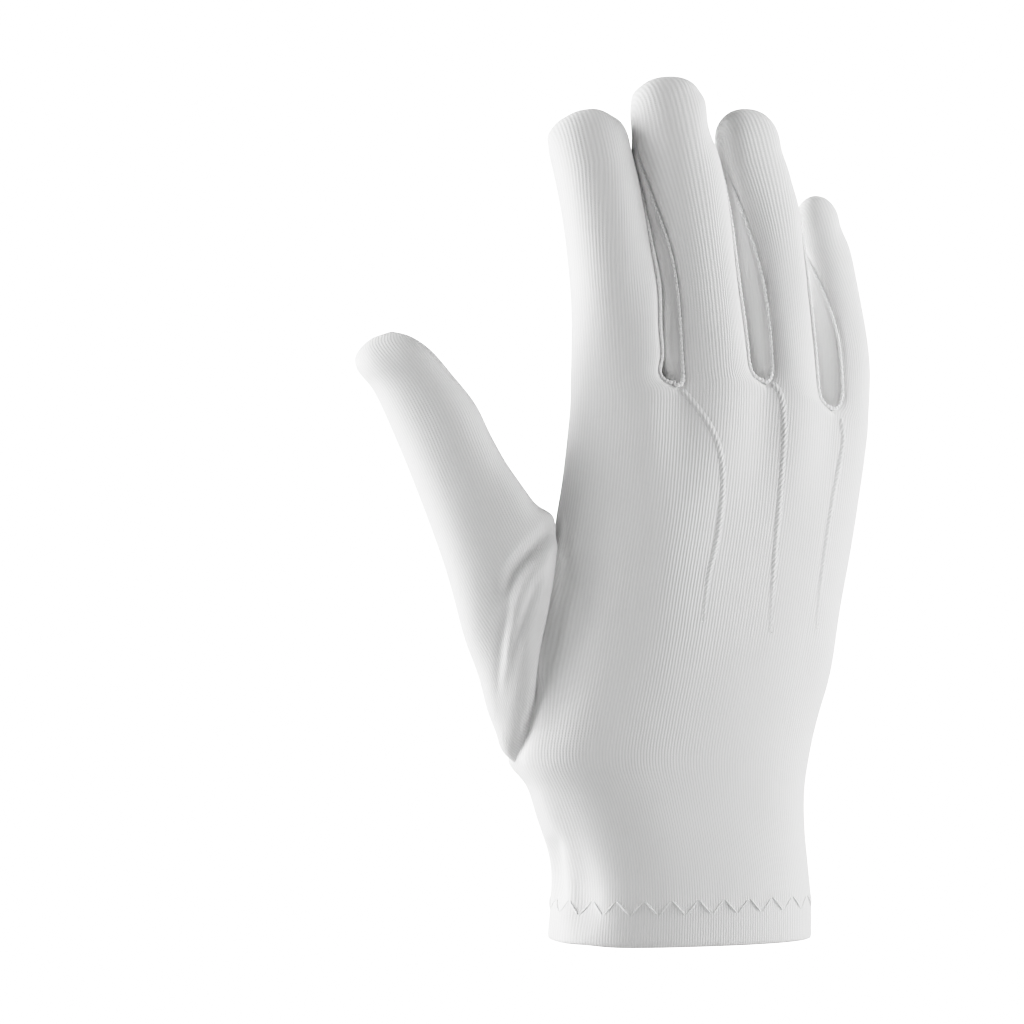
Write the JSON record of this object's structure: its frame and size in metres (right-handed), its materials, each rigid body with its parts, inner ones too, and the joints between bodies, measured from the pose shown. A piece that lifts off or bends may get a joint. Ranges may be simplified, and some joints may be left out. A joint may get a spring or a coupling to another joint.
{
  "type": "parade glove",
  "caption": "Plain white knit dress glove for the right hand, shown filled with fingers up: set-in thumb, finger forks, raised back seams and a turned hem.",
  "frame": {"origin": "middle of the cuff's open end, where the wrist comes out", "axes": "+Z along the hand from the wrist to the fingertips, -Y out of the back of the hand, -X towards the thumb"},
  "size_m": [0.1493, 0.049, 0.245],
  "materials": {
    "knit_fabric": "matt stretch knit with fine lengthwise ribs",
    "seam_fabric": "matt stitched ridge of the same knit"
  },
  "bodies": {
    "root": {"hand_piece": "knit_fabric", "fork_index_middle": "knit_fabric", "fork_middle_ring": "knit_fabric", "fork_ring_little": "knit_fabric", "thumb": "knit_fabric", "cuff_hem": "knit_fabric", "raised_seam_index": "seam_fabric", "raised_seam_middle": "seam_fabric", "raised_seam_ring": "seam_fabric"}
  },
  "joints": []
}
